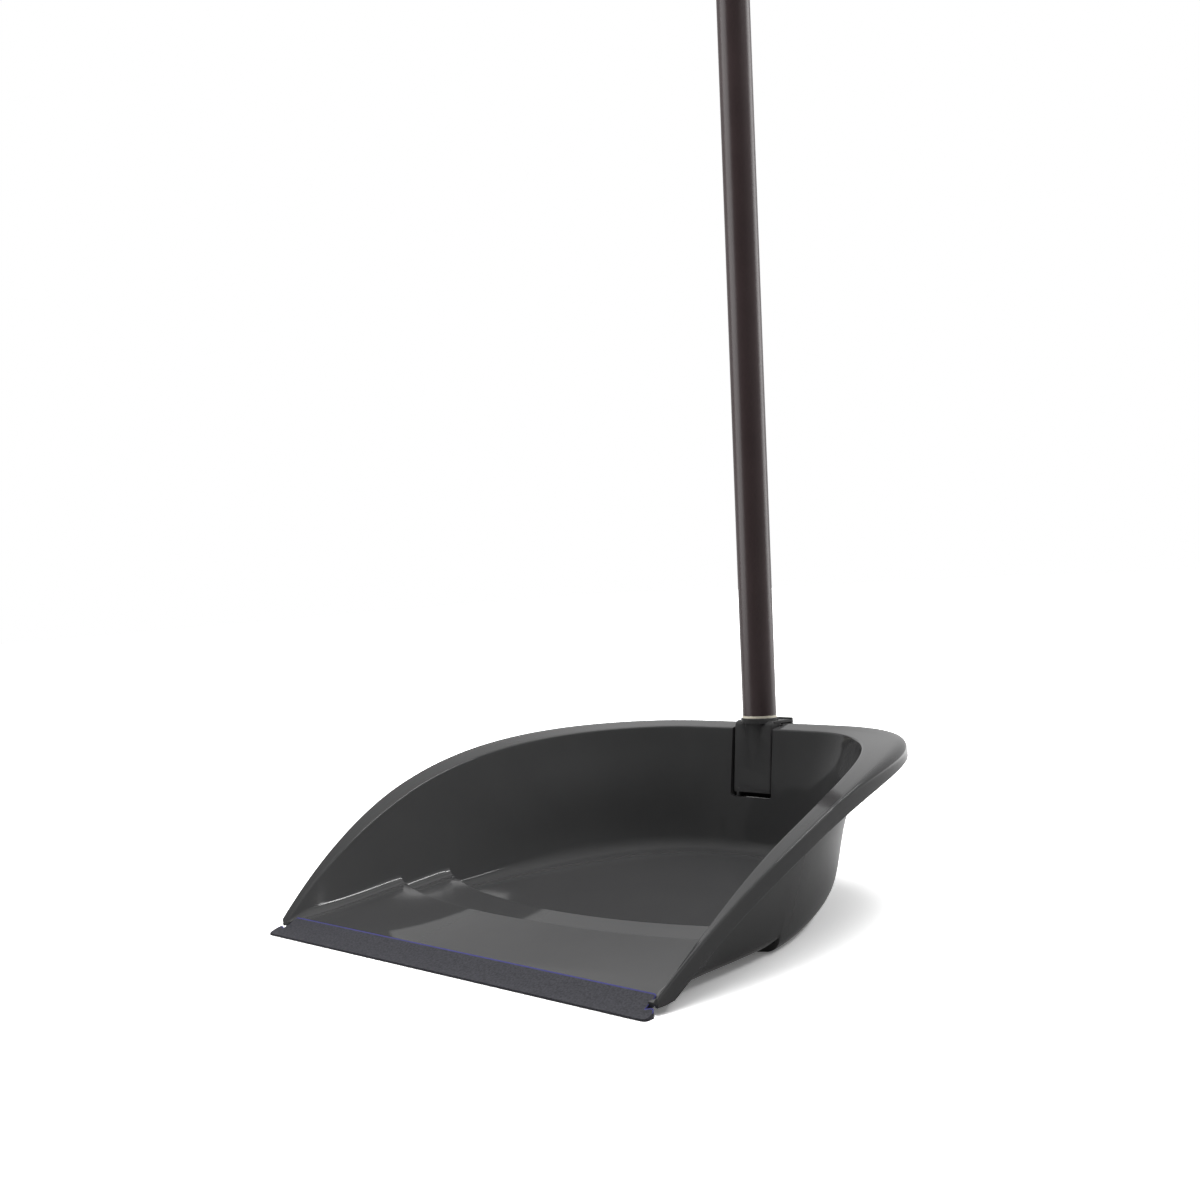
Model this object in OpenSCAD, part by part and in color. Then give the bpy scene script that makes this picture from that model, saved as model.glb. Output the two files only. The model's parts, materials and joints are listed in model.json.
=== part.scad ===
// Long-handled dustpan: moulded pan with a stepped floor, rubber lip, slide-in handle bracket and tube handle.
// The frame stands on the floor: +Z is up, +Y points from the lip to the back, +X to the right of the mouth.
// Depths are measured backwards from the front edge of the lip, and place() moves them to the frame.

/* [Pan outline] */
// Width over the rim at its widest
rim_w = 325; // [305:1:345]
// Depth over the rim, from the lip's front edge to the back
rim_d = 299; // [290:1:310]
// Width of the rim along the sides
flange_side = 13; // [11:0.5:15]
// Width of the rim along the back
flange_back = 21.5; // [18:0.5:25]
// Inset of the side walls' feet from their tops
draft_side = 17; // [13:0.5:20]
// Inset of the back wall's foot from its top
draft_back = 10; // [8:0.5:12]
// Depth at which the pan is widest
swell_y = 110; // [95:1:125]
// Width over the rim at its two front ends
mouth_w = 293; // [290:1:300]
// Depth of the floor's front edge, behind the lip's edge
front_y = 10; // [9.5:0.5:11]
// Half length of the gently bowed middle of the back rim
back_flat = 50; // [40:1:60]
// Half length of the bowed middle of the back wall's foot
foot_flat = 34; // [26:1:45]
// Bow of the back over those lengths
back_bow = 1.5; // [1:0.1:3]

/* [Pan heights] */
// Height of the rim at the back
rim_h = 92.5; // [80:0.5:110]
// Distance from the back over which the rim keeps its full height
rim_level = 14; // [11:1:19]
// Drop from the rim's crown to its inner edge
rim_drop = 2.2; // [1:0.1:3]
// Depth of the skirt that hangs from the rim
skirt = 10.5; // [7:0.5:14]
// Rise of the basin's floor to the back wall
basin_rise = 9; // [5:0.5:11]
// Wall and floor thickness of the moulding
wall = 2.6; // [2:0.1:3]

/* [Stepped floor] */
// Depth of the first crest at the middle
crest_a_y = 61.5; // [55:0.5:66]
// Distance between the two crests at the middle
crest_gap = 33.2; // [28:0.2:38]
// Radius of the first crest's arc
crest_r = 313; // [290:1:340]
// Height of the first ramp at the floor's front edge
ramp_a_z = 5.7; // [5.2:0.1:6]
// Height of the second ramp at the first crest
ramp_b_z = 5.1; // [4.5:0.1:6]

/* [Lip] */
// Overhang of the lip's blade at each end of the mouth
lip_over = 0.5; // [0:0.1:2]
// Distance of the clip's ends from the ends of the mouth
clip_inset = 6; // [6:0.5:11]
// Depth of the lip from its edge to its rear edge
lip_d = 16.4; // [14:0.1:18]
// Height of the lip's rear edge
lip_h = 7.7; // [7.5:0.1:8.5]

/* [Handle] */
// Diameter of the handle tube
tube_d = 22; // [20:0.5:23]
// Wall thickness of the handle tube
tube_wall = 0.8; // [0.5:0.1:1.2]
// Length of the handle tube
tube_l = 700; // [400:10:900]
// Lean of the handle to the back, in degrees
lean = 2.2; // [0:0.1:3]
// Distance of the handle's axis from the back, where the tube starts
axis_inset = 13.2; // [12.5:0.1:14.5]
// Height at which the tube starts, above the rim
tube_up = 5.5; // [4.8:0.1:9]
// Diameter of the end plug's spigot
spigot_d = 15.5; // [13:0.5:16]
// Length of the end plug's spigot
spigot_l = 34; // [25:1:38]

/* [Bracket] */
// Width of the bracket's tongue
tongue_w = 30; // [26:0.5:32]
// Depth of the slot in the back wall, below the rim
slot_h = 46.7; // [42:0.1:52]
// Gap between the tongue's lower edge and the slot's
slot_foot = 2.8; // [2:0.1:4]
// Gap between the tongue and each side of the slot
slot_gap = 1.3; // [0.8:0.1:2]
// Thickness of the saddle that lies over the rim
saddle_t = 2; // [1.5:0.1:2.6]
// Height of the ridge across the saddle's rear end
ridge_h = 1; // [0.5:0.1:2]

/* [End cap] */
// Diameter of the cap
cap_d = 24; // [23:0.5:26]
// Length of the cap above the tube
cap_l = 40; // [34:1:50]
// Thickness of the cap's flat eye
eye_t = 9; // [7:0.5:12]
// Diameter of the hanging hole
hole_d = 8; // [6:0.5:10]

/* [Hidden] */
// Depth of the frame's origin, at the middle of the basin
rest_y = 180;
// Overrun of every cut
over = 1;
// Thickness of the thin plates that a hull spans
sliver = 0.01;
// Clearance between pieces that are pushed together
fit = 0.1;
// Clearance between pieces that slide past each other
slide_gap = 0.3;
// Radial clearance of a pin in its hole
run_fit = 0.05;

// Widths and depths of the walls' tops and feet
top_w = rim_w - 2 * flange_side;
top_d = rim_d - flange_back;
floor_w = top_w - 2 * draft_side;
floor_d = top_d - draft_back;
// Depth at which the rim reaches its full height, and at which its sweep would meet the floor
rim_top_y = rim_d - rim_level;
rim_foot_y = 1;
// Depth at which the basin's floor starts to rise
rise_y = 130;
// Skids under the basin that carry its rear: their spacing, width and rear end
skid_x = 70;
skid_w = 3;
skid_y = 240;

// Shape of the plan outlines and of the rim's sweep
rim_power_share = 2.3;
top_power_share = 1.85;
floor_power_share = 1.58;
rim_front_power_share = 1.5;
wall_front_power_share = 3;
sweep_power_share = 2.7;
// Inset of the wall's foot from the rim's outer edge at the mouth
mouth_foot = 4;
// Thickness of the wall under the rim at the mouth
mouth_wall = 3;
// Fillet between wall and floor at the mouth, and at the back
fillet_front = 3.5;
fillet_back = 7;
// Rounding of the rim's outer crown, and of its inner edge
crown_r = 4.5;
edge_r = 1.6;
// Most of the wall's height that its fillet and its edge's rounding take, and of the rim's width and height
fillet_share = 0.45;
edge_share = 0.3;
skin_share = 0.4;
crown_share = 0.2;
// Least part of the channel under the rim that stays open at the mouth
least_open_share = 0.05;
// Steps along the front, the corner and the back of half an outline, round each fillet and over the rim's crown
front_n = 10;
corner_n = 20;
back_n = 4;
arc_n = 4;
crown_n = 3;

// Floor ramps
ramp_a_slope_share = 0.09;
ramp_b_slope_share = 0.1;
crest_centre_y = crest_a_y + crest_r;
crest_b_r = crest_r - crest_gap;

// Lip
lip_l = mouth_w + 2 * lip_over;
clip_l = mouth_w - 2 * clip_inset;
lip_edge_t = 1.3;
lip_crown = 0.5;
lip_rebate = 1.2;
lip_lift = 0.2;
lip_under_t = 1.2;
lip_flap_y = 15;
notch_y = 7.4;

// Handle, plug and bracket
axis_y = rim_d - axis_inset;
tube_z = rim_h + tube_up;
slot_z = rim_h - slot_h;
tongue_z = slot_z + slot_foot;
plug_flange_t = 1.4;
plug_flange_over = 0.3;
plug_in_tube = 30;
saddle_z = rim_h + slide_gap;
saddle_top = saddle_z + saddle_t;
collar_top = tube_z - plug_flange_t;
collar_over = 1.2;
socket_wall = 2.2;
socket_r = spigot_d / 2 + run_fit + socket_wall;
tongue_t = 3;
tongue_round = 2.5;
key_w = 1.5;
key_t = 2.2;
rail_w = 5.4;
slot_round = 2;
rail_top = rim_h - skirt;
hook_t = 2.4;
hook_l = 7.2;
nub_w = 2.2;
cap_seat_l = 28;
cap_rim_l = 8;
eye_web = 6;

// Helpers

// Moves depths from the lip's edge to the frame
module place() {
    translate([0, -rest_y, 0]) children();
}

// Stands the children on the handle's axis, with Z along it and its zero at the frame's floor
module along_handle() {
    translate([0, axis_y, tube_z]) rotate([-lean, 0, 0]) translate([0, 0, -tube_z]) children();
}

function unit(v) = v / norm(v);
function lift(p, z) = [p[0], p[1], z];
function plate_z(y) = ramp_a_z + ramp_a_slope_share * (y - front_y);
function rim_z(y) = rim_h * (1 - pow(max(0, rim_top_y - y) / (rim_top_y - rim_foot_y), sweep_power_share));
function floor_z(y) = wall + basin_rise * max(0, y - rise_y) / (floor_d - rise_y);

// Stations along half an outline, from the mouth to the middle of the back: stretch and place along it
stations = concat(
    [for (i = [0 : front_n - 1]) [0, i / front_n]],
    [for (i = [0 : corner_n - 1]) [1, i / corner_n]],
    [for (i = [0 : back_n]) [2, i / back_n]]
);

// A point of a plan outline: swept side, rounded corner, slightly bowed back
function outline(s, half_w, depth, flat, front_x, front_power, power) =
    s[0] == 0 ? [half_w + (front_x - half_w) * pow(1 - s[1], front_power), front_y + (swell_y - front_y) * s[1]]
  : s[0] == 1 ? [flat + (half_w - flat) * pow(cos(90 * s[1]), 2 / power),
                 swell_y + (depth - back_bow - swell_y) * pow(sin(90 * s[1]), 2 / power)]
  : [flat * (1 - s[1]), depth - back_bow * pow(1 - s[1], 2)];

function rim_point(s) = outline(s, rim_w / 2, rim_d, back_flat, mouth_w / 2, rim_front_power_share, rim_power_share);
function top_point(s) =
    outline(s, top_w / 2, top_d, back_flat, mouth_w / 2 - mouth_wall, wall_front_power_share, top_power_share);
function foot_point(s) =
    outline(s, floor_w / 2, floor_d, foot_flat, mouth_w / 2 - mouth_foot, wall_front_power_share, floor_power_share);

// Fillet radius: small along the sides, large round the back
function fillet_r(s) =
    fillet_front + (fillet_back - fillet_front) * (s[0] == 0 ? 0 : s[0] == 2 ? 1 : pow(sin(90 * s[1]), 2));

// Section of the moulding at a station: floor fillet, wall, rim, skirt, and back down the outside
function wall_section(s) =
    let (foot = foot_point(s), top = top_point(s), rim = rim_point(s))
    let (rim_top = rim_z(rim[1]), edge = rim_z(top[1]) - rim_drop)
    let (out = unit(top - foot), over_rim = unit(rim - top), reach = norm(rim - top))
    let (rise = edge - floor_z(foot[1]), draft = atan2(norm(top - foot), rise))
    let (r = min(fillet_r(s), rise * fillet_share))
    let (heel = foot - out * r / tan((90 + draft) / 2), base = floor_z(heel[1]))
    let (turn = [for (i = [0 : arc_n]) -90 + (90 - draft) * i / arc_n])
    let (slope = unit(concat(top - foot, [rise])), round_r = min(edge_r, rise * edge_share))
    let (skin = min(wall, reach * skin_share), crown = min(crown_r, reach * skin_share, rim_top * crown_share))
    let (skirt_z = max(plate_z(rim[1]) - wall + slide_gap, rim_top - skirt))
    let (open_share = min(1, max(least_open_share, (reach - 2 * wall) / wall)))
    concat(
        [for (a = turn) lift(heel + out * r * cos(a), base + r + r * sin(a))],
        [lift(top, edge) - slope * round_r],
        [lift(top + over_rim * round_r, edge + (rim_top - edge) * round_r / reach)],
        [for (i = [0 : crown_n]) let (a = 90 - 90 * i / crown_n)
            lift(rim - over_rim * crown * (1 - cos(a)), rim_top - crown * (1 - sin(a)))],
        [lift(rim, skirt_z)],
        [lift(rim - over_rim * skin, skirt_z)],
        [lift(rim - over_rim * skin, skirt_z + (rim_top - wall - skirt_z) * open_share)],
        [lift(top + out * skin, skirt_z + (edge - wall - skirt_z) * open_share)],
        [for (i = [arc_n : -1 : 0]) lift(heel + out * (r + skin) * cos(turn[i]), base + r + (r + wall) * sin(turn[i]))]
    );

function mirrored(section) = [for (p = section) [-p[0], p[1], p[2]]];

// The right half's sections from the mouth to the back, then the left half's back to the mouth
tub_sections = concat(
    [for (s = stations) wall_section(s)],
    [for (i = [len(stations) - 2 : -1 : 0]) mirrored(wall_section(stations[i]))]
);

// Pan

// Wall, rim and skirt swept round the floor, closed by the floor's two faces and by the ends at the mouth
module tub() {
    rings = len(tub_sections);
    size = len(tub_sections[0]);
    middle = (rings - 1) / 2;
    sides = [for (i = [0 : rings - 2], j = [0 : size - 2]) let (a = i * size + j, b = a + size) each [
        [a, b + 1, a + 1],
        [a, b, b + 1]
    ]];
    floor_faces = [for (i = [0 : middle - 1])
        let (r0 = i * size, r1 = r0 + size, l0 = (rings - 1 - i) * size, l1 = l0 - size, under = size - 1) each [
            i < middle - 1 ? [r0, l0, l1, r1] : [r0, l0, r1],
            i < middle - 1 ? [r0 + under, r1 + under, l1 + under, l0 + under] : [r0 + under, r1 + under, l0 + under]
        ]];
    // Corners of the section after its inner fillet: edge, crown, skirt, and the channel's roof
    edge = arc_n + 1;
    crown = edge + 2;
    skirt_out = crown + crown_n + 1;
    roof = skirt_out + 2;
    end_face = concat(
        [for (j = [0 : arc_n - 1]) [j, j + 1, size - 2 - j, size - 1 - j]],
        [[arc_n, edge, roof + 1, roof + 2], [edge, edge + 1, roof, roof + 1], [edge + 1, crown, roof]],
        [[skirt_out, skirt_out + 1, roof], [skirt_out, roof, crown]],
        [for (j = [0 : crown_n - 1]) [skirt_out, crown + j, crown + j + 1]]
    );
    left_face = [for (f = end_face) [for (i = [len(f) - 1 : -1 : 0]) (rings - 1) * size + f[i]]];
    front = [0, size - 1, rings * size - 1, (rings - 1) * size];
    polyhedron(
        points = [for (section = tub_sections) each section],
        faces = concat(sides, floor_faces, end_face, left_face, [front])
    );
}

// The floor's plan, reaching into the walls
module floor_plan() {
    half = [for (s = stations) foot_point(s) + unit(top_point(s) - foot_point(s)) * wall];
    polygon(concat(half, [for (i = [len(half) - 2 : -1 : 0]) [-half[i][0], half[i][1]]]));
}

// Everything under a ramp's plane, from depth y to its crest; inset lowers the plane and moves the crest forwards
module under_ramp(z, y, slope, r, inset, base) {
    difference() {
        hull() for (end_y = [y - inset - over, crest_centre_y])
            translate([-rim_w / 2, end_y, base]) cube([rim_w, sliver, z - inset + slope * (end_y - y) - base]);
        translate([0, crest_centre_y, base - over]) cylinder(h = rim_h, r = r + inset, $fn = 200);
    }
}

module ramp_a(inset, base) {
    under_ramp(ramp_a_z, front_y, ramp_a_slope_share, crest_r, inset, base);
}

module ramp_b(inset, base) {
    under_ramp(ramp_b_z, crest_a_y, ramp_b_slope_share, crest_b_r, inset, base);
}

// The channel through the rim and the back wall that takes the bracket, with rounded lower corners
module bracket_slot() {
    slot_w = tongue_w + 2 * slot_gap;
    slot_back = socket_r + slide_gap;
    along_handle() translate([0, slot_back, 0]) rotate([90, 0, 0]) linear_extrude(slot_back + floor_d / 2)
        hull() {
            for (side = [-1, 1]) translate([side * (slot_w / 2 - slot_round), slot_z + slot_round])
                circle(slot_round, $fn = 24);
            translate([-slot_w / 2, rim_h]) square([slot_w, rim_h]);
        }
}

// Depth of the inside of the back wall, and of the handle's axis, at a height
function back_wall_y(z) = floor_d + draft_back * (z - wall - basin_rise) / (rim_h - rim_drop - wall - basin_rise);
function handle_y(z) = axis_y + (z - tube_z) * tan(lean);

// A block on the back wall's outside, between two heights
module back_block(x, width, low, high) {
    rear = key_t / 2 + slide_gap + wall;
    translate([x, 0, 0]) rotate([90, 0, 90]) linear_extrude(width) polygon([
        [back_wall_y(low) + wall / 2, low],
        [handle_y(low) + rear, low],
        [handle_y(high) + rear, high],
        [back_wall_y(high) + wall / 2, high]
    ]);
}

// Two rails that guide the bracket's keys, on a shelf that closes the slot from below
module rails() {
    inner_x = tongue_w / 2 + slot_gap;
    back_block(inner_x, rail_w, slot_z, rail_top);
    back_block(-inner_x - rail_w, rail_w, slot_z, rail_top);
    back_block(-inner_x - rail_w, 2 * (inner_x + rail_w), slot_z - wall, slot_z + over);
}

// The grooves for the keys, from the rails' feet up through the rim
module key_grooves() {
    along_handle() translate([-tongue_w / 2 - slot_gap - key_w - slide_gap, -key_t / 2 - slide_gap, slot_z + wall])
        cube([tongue_w + 2 * (slot_gap + key_w + slide_gap), key_t + 2 * slide_gap, rim_h]);
}

// Skids under the rising floor of the basin
module skids() {
    for (i = [-1 : 1]) translate([i * skid_x - skid_w / 2, 0, 0]) rotate([90, 0, 90]) linear_extrude(skid_w) polygon([
        [rise_y - wall, 0],
        [skid_y, 0],
        [skid_y, floor_z(skid_y) - wall / 2],
        [rise_y - wall, wall / 2]
    ]);
}

// The rebate on the floor's front edge that the lip's upper flap lies in
module lip_seat() {
    along_lip(clip_l + 2 * fit) polygon([
        [front_y - over, plate_z(front_y - over) - lip_rebate],
        [lip_d + fit, plate_z(lip_d + fit) - lip_rebate],
        [lip_d + fit, plate_z(lip_d + fit) + over],
        [front_y - over, plate_z(front_y - over) + over]
    ]);
}

module pan() {
    color("#3f3f41") place() difference() {
        union() {
            tub();
            intersection() {
                linear_extrude(rim_h) floor_plan();
                union() {
                    ramp_a(0, 0);
                    ramp_b(0, 0);
                }
            }
            rails();
            skids();
        }
        ramp_a(wall, -over);
        ramp_b(wall, -over);
        lip_seat();
        bracket_slot();
        key_grooves();
    }
}

// Lip strip: a crowned wedge of rubber with a slot for the floor's thinned front edge
module along_lip(length) {
    rotate([90, 0, 90]) translate([0, 0, -length / 2]) linear_extrude(length) children();
}

function lip_z(y) = lip_lift + lip_edge_t + (lip_h - lip_lift - lip_edge_t) * y / lip_d;

module lip_strip() {
    under_z = plate_z(lip_flap_y) - wall - fit - lip_under_t;
    crown = [lip_d / 2, lip_z(lip_d / 2) + lip_crown];
    color("#4b4a50") place() difference() {
        union() {
            along_lip(clip_l) polygon([
                [0, lip_lift],
                [0, lip_z(0)],
                crown,
                [lip_d, lip_h],
                [lip_d, plate_z(lip_d) - wall],
                [lip_flap_y, under_z]
            ]);
            along_lip(lip_l) polygon([
                [0, lip_lift],
                [0, lip_z(0)],
                crown - [lip_d / 2 - notch_y, lip_z(lip_d / 2) - lip_z(notch_y)],
                [notch_y, lip_lift + (under_z - lip_lift) * notch_y / lip_flap_y]
            ]);
        }
        along_lip(2 * lip_l) polygon([
            [front_y - fit, plate_z(front_y) - wall - fit],
            [lip_d + over, plate_z(lip_d + over) - wall - fit],
            [lip_d + over, plate_z(lip_d + over) - lip_rebate + fit],
            [front_y - fit, plate_z(front_y) - lip_rebate + fit]
        ]);
    }
}

// Handle bracket: tongue, keys and socket in one, with a saddle over the rim
tongue_front = handle_y(tongue_z) - back_wall_y(tongue_z);

module tongue_face() {
    hull() {
        for (side = [-1, 1]) translate([side * (tongue_w / 2 - tongue_round), 0])
            translate([0, tongue_z + tongue_round]) circle(tongue_round, $fn = 32);
        translate([-tongue_w / 2, saddle_z]) square([tongue_w, saddle_t]);
    }
}

module saddle() {
    hook_y = rim_d + slide_gap + hook_l * tan(lean) - axis_y;
    translate([-tongue_w / 2, -tongue_front, saddle_z])
        cube([tongue_w, tongue_front + hook_y + hook_t, saddle_t]);
    translate([-tongue_w / 2, hook_y, saddle_top - hook_l]) cube([tongue_w, hook_t, hook_l + ridge_h]);
    translate([0, 0, saddle_z]) cylinder(h = collar_top - saddle_z, d = tube_d + 2 * collar_over, $fn = 96);
}

module handle_bracket() {
    color("#343436") place() difference() {
        union() {
            along_handle() {
                translate([0, tongue_t - tongue_front, 0]) rotate([90, 0, 0])
                    linear_extrude(tongue_t) tongue_face();
                translate([0, 0, tongue_z]) cylinder(h = saddle_top - tongue_z, r = socket_r, $fn = 96);
                translate([-tongue_w / 2, -key_t / 2, tongue_z])
                    cube([tongue_w, key_t, saddle_top - tongue_z]);
                translate([-tongue_w / 2 - slot_gap - key_w, -key_t / 2, slot_z + wall + slide_gap])
                    cube([tongue_w + 2 * (slot_gap + key_w), key_t, rail_top - slot_z - wall - slide_gap]);
                translate([-tongue_w / 2 + tongue_round, -tongue_front, slot_z + slide_gap])
                    cube([nub_w, tongue_t, tongue_z + tongue_t - slot_z]);
                saddle();
            }
        }
        along_handle() translate([0, 0, collar_top - spigot_l - over])
            cylinder(h = spigot_l + 2 * over, r = spigot_d / 2 + run_fit, $fn = 96);
    }
}

// End plug: flange under the tube, spigot in the socket, stem up the tube
module threaded_plug() {
    color("#d9cfae") place() along_handle() {
        translate([0, 0, collar_top]) cylinder(h = plug_flange_t, d = tube_d + plug_flange_over, $fn = 96);
        translate([0, 0, collar_top - spigot_l]) cylinder(h = spigot_l + plug_flange_t, d = spigot_d, $fn = 96);
        translate([0, 0, tube_z - plug_flange_t / 2])
            cylinder(h = plug_in_tube + plug_flange_t / 2, d = tube_d - 2 * tube_wall - 2 * run_fit, $fn = 96);
    }
}

module handle_tube() {
    color("#3a3032") place() along_handle() translate([0, 0, tube_z]) difference() {
        cylinder(h = tube_l, d = tube_d, $fn = 96);
        translate([0, 0, -over]) cylinder(h = tube_l + 2 * over, d = tube_d - 2 * tube_wall, $fn = 96);
    }
}

// End cap: a collar on the tube that narrows to a flat eye with a hanging hole
module end_cap() {
    tube_top = tube_z + tube_l;
    eye_z = tube_top + cap_l - cap_d / 2;
    color("#343436") place() along_handle() difference() {
        union() {
            intersection() {
                union() {
                    translate([0, 0, tube_top]) cylinder(h = eye_z - tube_top, d = cap_d, $fn = 96);
                    translate([0, 0, eye_z]) sphere(d = cap_d, $fn = 96);
                }
                union() {
                    translate([-cap_d, -cap_d, tube_top]) cube([2 * cap_d, 2 * cap_d, cap_rim_l]);
                    rotate([90, 0, 90]) translate([0, 0, -cap_d]) linear_extrude(2 * cap_d) polygon([
                        [-cap_d / 2, tube_top + cap_rim_l],
                        [cap_d / 2, tube_top + cap_rim_l],
                        [eye_t / 2, tube_top + cap_rim_l + eye_web],
                        [eye_t / 2, tube_top + cap_l + over],
                        [-eye_t / 2, tube_top + cap_l + over],
                        [-eye_t / 2, tube_top + cap_rim_l + eye_web]
                    ]);
                }
            }
            translate([0, 0, tube_top - cap_seat_l])
                cylinder(h = cap_seat_l + cap_rim_l / 2, d = tube_d - 2 * tube_wall - 2 * run_fit, $fn = 96);
        }
        translate([0, 0, eye_z]) rotate([90, 0, 0])
            cylinder(h = 2 * cap_d, d = hole_d, center = true, $fn = 64);
    }
}

pan();
lip_strip();
handle_bracket();
threaded_plug();
handle_tube();
end_cap();
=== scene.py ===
"""Long-handled dustpan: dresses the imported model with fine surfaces, plastics, rubber and a soft studio."""
import json
import math

import bmesh
import bpy
import numpy as np
from mathutils import Matrix, Vector


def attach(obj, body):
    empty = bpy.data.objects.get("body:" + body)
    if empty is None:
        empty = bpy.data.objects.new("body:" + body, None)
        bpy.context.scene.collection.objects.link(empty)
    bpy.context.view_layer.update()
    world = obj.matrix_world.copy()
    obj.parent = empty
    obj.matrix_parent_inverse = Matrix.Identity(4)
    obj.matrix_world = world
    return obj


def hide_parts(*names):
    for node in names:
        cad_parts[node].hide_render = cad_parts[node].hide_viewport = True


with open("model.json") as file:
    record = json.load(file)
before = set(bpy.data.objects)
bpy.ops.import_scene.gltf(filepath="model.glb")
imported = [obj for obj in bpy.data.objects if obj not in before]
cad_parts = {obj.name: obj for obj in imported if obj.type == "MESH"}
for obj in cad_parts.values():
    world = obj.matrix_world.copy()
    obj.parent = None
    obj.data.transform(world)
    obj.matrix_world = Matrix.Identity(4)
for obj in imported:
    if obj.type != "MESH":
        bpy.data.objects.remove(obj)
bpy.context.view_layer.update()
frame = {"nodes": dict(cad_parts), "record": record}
MM = 0.001


# Materials

PAN_GREY = ((0.056, 0.056, 0.057), (0.061, 0.061, 0.062))
# A dark and a light shade, gloss, fineness and strength of the grain, and fineness of the colour's spots
FINISHES = {
    "pan_plastic": dict(shades=PAN_GREY, roughness=0.1, specular=0.35, grain=1500, strength=0.015),
    "pan_edges": dict(shades=PAN_GREY, roughness=0.12, specular=1, grain=1500, strength=0.015),
    "lip_rubber": dict(
        shades=((0.033, 0.033, 0.04), (0.07, 0.07, 0.081)),
        roughness=0.6, specular=0.3, grain=1400, strength=0.25, spots=900),
    "lip_edge": dict(
        shades=((0.05, 0.05, 0.2), (0.06, 0.06, 0.26)),
        roughness=0.5, specular=0.3, grain=1400, strength=0.1),
    "bracket_plastic": dict(
        shades=((0.066, 0.066, 0.067), (0.072, 0.072, 0.073)),
        roughness=0.25, specular=0.3, grain=1500, strength=0.04),
    "plug_plastic": dict(
        shades=((0.78, 0.73, 0.6), (0.84, 0.8, 0.66)),
        roughness=0.4, specular=0.4, grain=900, strength=0.05),
    "tube_coating": dict(
        shades=((0.05, 0.033, 0.034), (0.06, 0.04, 0.041)),
        roughness=0.3, specular=0.5, grain=300, strength=0.02),
    "cap_plastic": dict(
        shades=((0.05, 0.05, 0.052), (0.056, 0.056, 0.058)),
        roughness=0.35, specular=0.3, grain=1500, strength=0.05),
}
SHADES_AT = (0.3, 0.7)
SPOT_DETAIL = 4
GRAIN_DETAIL = 2
GRAIN_DEPTH = 0.0002


def new_material(name):
    """A new material and its node tree."""
    material = bpy.data.materials.new(name)
    material.use_nodes = True
    return material, material.node_tree


def arithmetic(tree, operation, *values):
    """A math node over links and numbers."""
    node = tree.nodes.new("ShaderNodeMath")
    node.operation = operation
    for slot, value in zip(node.inputs, values):
        if isinstance(value, (int, float)):
            slot.default_value = value
        else:
            tree.links.new(value, slot)
    return node.outputs[0]


def noise(tree, scale, detail):
    """A noise in the object's own coordinates."""
    where = tree.nodes.new("ShaderNodeTexCoord")
    texture = tree.nodes.new("ShaderNodeTexNoise")
    texture.inputs["Scale"].default_value = scale
    texture.inputs["Detail"].default_value = detail
    tree.links.new(where.outputs["Object"], texture.inputs["Vector"])
    return texture.outputs["Fac"]


def bump(tree, height, strength, distance):
    """A bump node over a height."""
    node = tree.nodes.new("ShaderNodeBump")
    node.inputs["Strength"].default_value = strength
    node.inputs["Distance"].default_value = distance
    tree.links.new(height, node.inputs["Height"])
    return node


def plastic(name, shades, roughness, specular, grain, strength, spots=28):
    """A moulded plastic: slightly mottled colour and a fine grain."""
    material, tree = new_material(name)
    surface = tree.nodes["Principled BSDF"]
    colour = tree.nodes.new("ShaderNodeValToRGB")
    for element, shade, at in zip(colour.color_ramp.elements, shades, SHADES_AT):
        element.color = (*shade, 1)
        element.position = at
    tree.links.new(noise(tree, spots, SPOT_DETAIL), colour.inputs["Fac"])
    tree.links.new(colour.outputs["Color"], surface.inputs["Base Color"])
    surface.inputs["Roughness"].default_value = roughness
    surface.inputs["Specular IOR Level"].default_value = specular
    grains = bump(tree, noise(tree, grain, GRAIN_DETAIL), strength, GRAIN_DEPTH)
    tree.links.new(grains.outputs["Normal"], surface.inputs["Normal"])
    return material


MATERIALS = {name: plastic(name, **finish) for name, finish in FINISHES.items()}
for part in frame["record"]["subparts"]:
    piece = frame["nodes"][part["node"]]
    piece.data.materials.clear()
    piece.data.materials.append(MATERIALS[part["material_slot"]])


# Meshes

def scaled(points):
    """Points in metres from points in millimetres."""
    return [tuple(c * MM for c in p) for p in points]


def mesh_object(name, vertices, faces, material=None):
    """A smooth mesh object in the scene, in metres."""
    mesh = bpy.data.meshes.new(name)
    mesh.from_pydata(vertices, [], faces)
    mesh.update()
    mesh.shade_smooth()
    made = bpy.data.objects.new(name, mesh)
    bpy.context.scene.collection.objects.link(made)
    if material:
        mesh.materials.append(material)
    return made


def tidy_normals(piece):
    """Turns all faces outwards."""
    work = bmesh.new()
    work.from_mesh(piece.data)
    bmesh.ops.recalc_face_normals(work, faces=work.faces)
    work.to_mesh(piece.data)
    work.free()


def tube_faces(count, size):
    """Faces between closed rings of points, and the faces that close the first and the last ring."""
    sides = [
        (i * size + k, i * size + (k + 1) % size, (i + 1) * size + (k + 1) % size, (i + 1) * size + k)
        for i in range(count - 1) for k in range(size)]
    ends = [tuple(range(size))[::-1], tuple((count - 1) * size + k for k in range(size))]
    return sides, ends


def solid(name, rings, material=None):
    """A closed solid through rings of points in millimetres."""
    sides, ends = tube_faces(len(rings), len(rings[0]))
    made = mesh_object(name, scaled(p for ring in rings for p in ring), sides + ends, material)
    tidy_normals(made)
    return made


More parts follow.
